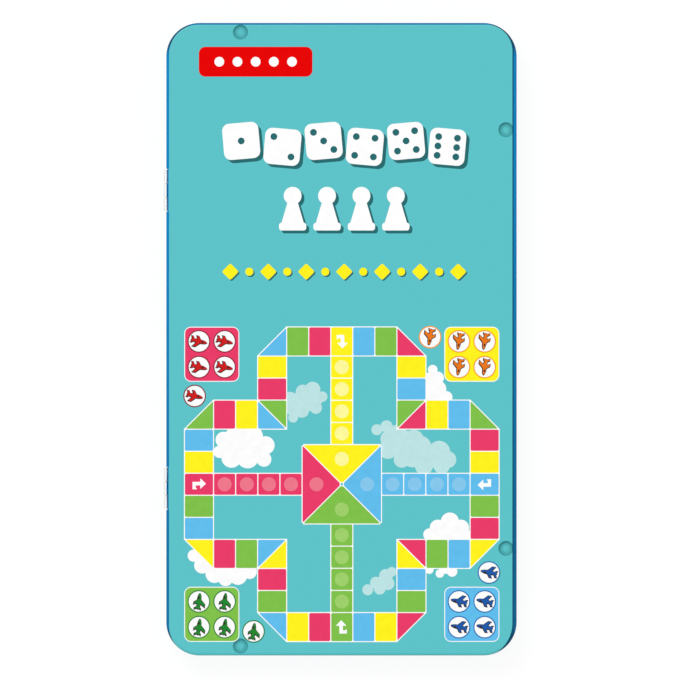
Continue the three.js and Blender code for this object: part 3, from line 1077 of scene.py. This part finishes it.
pawn_row, pawn_step, pawn_shadow = 40.3 * mm, 10.6 * mm, 0.9 * mm
pawns, pawn_shadows = [], []
for number in range(4):
    x = title_x + (number - 1.5) * pawn_step
    for group, off in ((pawns, 0), (pawn_shadows, pawn_shadow)):
        head = spot(0, 3.9 * mm, 2.75 * mm, 32)
        robe = patch(0, -0.9 * mm, 7.2 * mm, 8.4 * mm)
        for side in (1, -1):
            trim_off(robe, (side * 1.15 * mm, 3.3 * mm), (side * 0.95, 0.28))
        foot = ease(patch(0, -5.6 * mm, 8.4 * mm, 2.4 * mm), 0.8 * mm)
        group.append(turned(together([head, robe, foot]), x + off, pawn_row - off, 0))

lozenge_row, lozenge_step, lozenge_shadow = 20.8 * mm, 5.85 * mm, 0.4 * mm
lozenge, dot_radius = 3.7 * mm, 1.25 * mm
lozenges, lozenge_shadows = [], []
for number in range(13):
    for group, off in ((lozenges, 0), (lozenge_shadows, lozenge_shadow)):
        x, y = title_x + (number - 6) * lozenge_step + off, lozenge_row - off
        if number % 2:
            group.append(spot(x, y, dot_radius, 24))
        else:
            group.append(turned(ease(patch(0, 0, lozenge, lozenge), 0.5 * mm), x, y, 45))

bar_x, bar_y = -26 * mm, 85.5 * mm
bar_step, bar_spot = 5.6 * mm, 1.5 * mm
bar = ease(patch(bar_x, bar_y, 35 * mm, 9.2 * mm), 2 * mm, 6)
bar_spots = [spot(bar_x + i * bar_step, bar_y, bar_spot, 32) for i in (-2, -1, 0, 1, 2)]
title_parts = [
    lay(face_shadows + pawn_shadows + lozenge_shadows, "title_shadow", 1, merge=True),
    lay(faces + pawns, "title_white", 2, merge=True),
    lay(face_pips, "title_shadow", 3),
    lay(lozenges, "yellow", 2),
    lay([bar], "title_red", 1),
    lay(bar_spots, "title_white", 2),
]
title = together(title_parts)
title.name = "lid_print_title"
for piece in (lid_print, title):
    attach(piece, "lid")


# The print inside. The same board, larger, runs over both shells and parts at the fold, on a
# teal panel; it lies face up in the base, and face down in the closed lid.
inner_scale = 182 / 97
inner_yard = 77 * mm
yard_edge, disc_spread = 31.55 * mm, 1.017
fold_gap, fold_trim = 2.3 * mm, 0.03 * mm
panel_fold, panel_far, panel_long = 1.85 * mm, 106.9 * mm, 192.4 * mm
inner_round, punch_radius = 9 * mm, 3 * mm
inks["panel"] = lacquer("ink_panel", teal)


def half_board_print(side, name):
    """One half of the board, for side 1 in the base and for side -1 in the lid laid open."""
    half = duplicate(lid_print)
    half.name = name
    grow = Matrix.Diagonal((inner_scale, inner_scale, 1, 1))
    home = Matrix.Translation((-middle_x, -board_y, -face_z + sheet + film))
    half.data.transform(Matrix.Translation((axis_x, 0, 0)) @ grow @ home)
    open_whole(half)
    bpy.ops.mesh.bisect(
        plane_co=(axis_x + side * fold_trim, 0, 0),
        plane_no=(-side, 0, 0),
        clear_outer=True,
        use_fill=True,
        threshold=0.0001 * mm,
    )
    bpy.ops.mesh.select_all(action="SELECT")
    bpy.ops.transform.translate(value=(side * fold_gap, 0, 0))
    object_mode()
    edge = yard_edge * inner_scale
    out = inner_yard - yard_middle * inner_scale
    fold = axis_x + side * fold_gap
    for end in (1, -1):
        pick(half, lambda point, normal: (point.x - fold) * side > edge and point.y * end > edge)
        bpy.ops.transform.translate(value=(side * out, end * out, 0))
        centre = (fold + side * inner_yard, end * inner_yard, 0)
        bpy.ops.transform.resize(value=(disc_spread, disc_spread, 1), center_override=centre)
        object_mode()
    x0, x1 = sorted((axis_x + side * panel_fold, axis_x + side * panel_far))
    panel = patch((x0 + x1) / 2, 0, x1 - x0, panel_long)
    ease(panel, inner_round, 10)
    lay([panel], "panel", 1)
    panel.data.transform(Matrix.Translation((0, 0, sheet - face_z)))
    if side < 0:
        for part in (half, panel):
            part.data.transform(
                Matrix.Translation((axis_x, 0, parting_z))
                @ Matrix.Rotation(math.pi, 4, "Y")
                @ Matrix.Translation((-axis_x, 0, -parting_z))
            )
        for x, y in dimples:
            low = tin_height - mm
            wall = [("to", punch_radius, low), ("to", punch_radius, tin_height)]
            punch = spun((0, low), wall + [("to", 0, tin_height)], 40)
            punch.data.transform(Matrix.Translation((tin_middle + x, y, 0)))
            carve(panel, punch)
    together([half, panel])
    return half


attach(half_board_print(1, "base_print_board"), "base")
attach(half_board_print(-1, "lid_print_inside"), "lid")


# The counters. Each is a moulded plastic cap with a raised rim and an aircraft printed in white
# inside it, over a disc of dark magnet sheet that is pressed into its underside.
counters = {
    "red": ("lid", shade(222, 40, 84)),
    "green": ("lid", shade(96, 172, 52)),
    "yellow": ("base", shade(250, 222, 10)),
    "blue": ("base", shade(48, 140, 212)),
}


def moulded(name, colour, roughness=0.34):
    """Moulded plastic: an even colour that is a little lighter in patches, and a faint skin."""
    plastic = lacquer(name, colour, roughness)
    plastic.node_tree.nodes["Principled BSDF"].inputs["Specular IOR Level"].default_value = 0.45
    return plastic


magnet_sheet = moulded("magnet_sheet", shade(52, 48, 46), 0.62)
inks["counter"] = moulded("counter_print", shade(250, 250, 248))

cap_high, sign_z, sign_scale = 1.6 * mm, 1.33 * mm, 1.5
cap = spun(
    (0, 0.4 * mm),
    [
        ("to", 5.45 * mm, 0.4 * mm),
        ("to", 5.45 * mm, 0),
        ("to", 5.75 * mm, 0),
        ("round", 5.75 * mm, 0.25 * mm, 90),
        ("to", 6 * mm, 1.3 * mm),
        ("round", 5.7 * mm, 1.3 * mm, 90),
        ("to", 5.3 * mm, cap_high),
        ("round", 5.3 * mm, 1.4 * mm, 60),
        ("to", 4.95 * mm, sign_z),
        ("to", 0, sign_z),
    ],
    48,
)
magnet = spun(
    (0, 0.04 * mm),
    [
        ("to", 5.25 * mm, 0.04 * mm),
        ("round", 5.25 * mm, 0.14 * mm, 90),
        ("to", 5.35 * mm, 0.41 * mm),
        ("to", 0, 0.41 * mm),
    ],
    48,
)
magnet.data.materials.append(magnet_sheet)
sign = aircraft(0)
sign.data.transform(Matrix.Scale(sign_scale, 4))
sign = lay([sign], "counter", 1, merge=True)
sign.data.transform(Matrix.Translation((0, 0, sign_z - face_z)))
for colour, (body, cap_shade) in counters.items():
    cap_finish = moulded(f"counter_plastic_{colour}", cap_shade)
    for number in range(4):
        node = f"{colour}_counter_{number + 1}"
        low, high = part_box(node)
        place = Matrix.Translation(((low.x + high.x) / 2, (low.y + high.y) / 2, low.z))
        if body == "lid":
            place @= Matrix.Translation((0, 0, cap_high)) @ Matrix.Rotation(math.pi, 4, "X")
        parts = [duplicate(part) for part in (cap, magnet, sign)]
        parts[0].data.materials.append(cap_finish)
        counter = together(parts)
        counter.name = f"{colour}_counter_cap_{number + 1}"
        counter.data.transform(place)
        smooth(counter, 40)
        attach(counter, node)
        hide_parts(node)
for part in (cap, magnet, sign):
    bpy.data.objects.remove(part)


# The die. An 8 mm cube of ivory plastic with well-rounded edges; its pips are drilled as shallow
# hollows and painted, and opposite faces add up to seven.
low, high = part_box("die")
die_middle = (low + high) / 2
die_half = (high.z - low.z) / 2
die_round, drill_off, drill_out, drill_radius = 1 * mm, 2 * mm, 0.35 * mm, 0.8 * mm
bpy.ops.object.select_all(action="DESELECT")
bpy.ops.mesh.primitive_cube_add(size=2 * die_half)
cube = bpy.context.object
cube.name = "die_cube"
open_whole(cube)
bpy.ops.mesh.bevel(offset=die_round, segments=6, affect="EDGES")
object_mode()
ivory = moulded("ivory_plastic", shade(246, 243, 232), 0.28)
pip_paint = moulded("pip_paint", shade(24, 24, 28), 0.4)
quarter = math.pi / 2
die_faces = [
    (5, Matrix.Identity(4)),
    (2, Matrix.Rotation(math.pi, 4, "X")),
    (1, Matrix.Rotation(quarter, 4, "Y")),
    (6, Matrix.Rotation(-quarter, 4, "Y")),
    (3, Matrix.Rotation(quarter, 4, "X")),
    (4, Matrix.Rotation(-quarter, 4, "X")),
]
drills = []
for number, facing in die_faces:
    for across, along in pips[number]:
        bpy.ops.object.select_all(action="DESELECT")
        place = (across * drill_off, along * drill_off, die_half + drill_out)
        bpy.ops.mesh.primitive_uv_sphere_add(
            segments=20, ring_count=12, radius=drill_radius, location=place
        )
        drill = bpy.context.object
        settle()
        drill.data.transform(facing)
        drills.append(drill)
drill = together(drills)
for piece in (cube, drill):
    piece.data.materials.append(ivory)
    piece.data.materials.append(pip_paint)
for face in drill.data.polygons:
    face.material_index = 1
carve(cube, drill)
cube.data.transform(Matrix.Translation(die_middle))
smooth(cube, 40)
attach(cube, "die")
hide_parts("die")
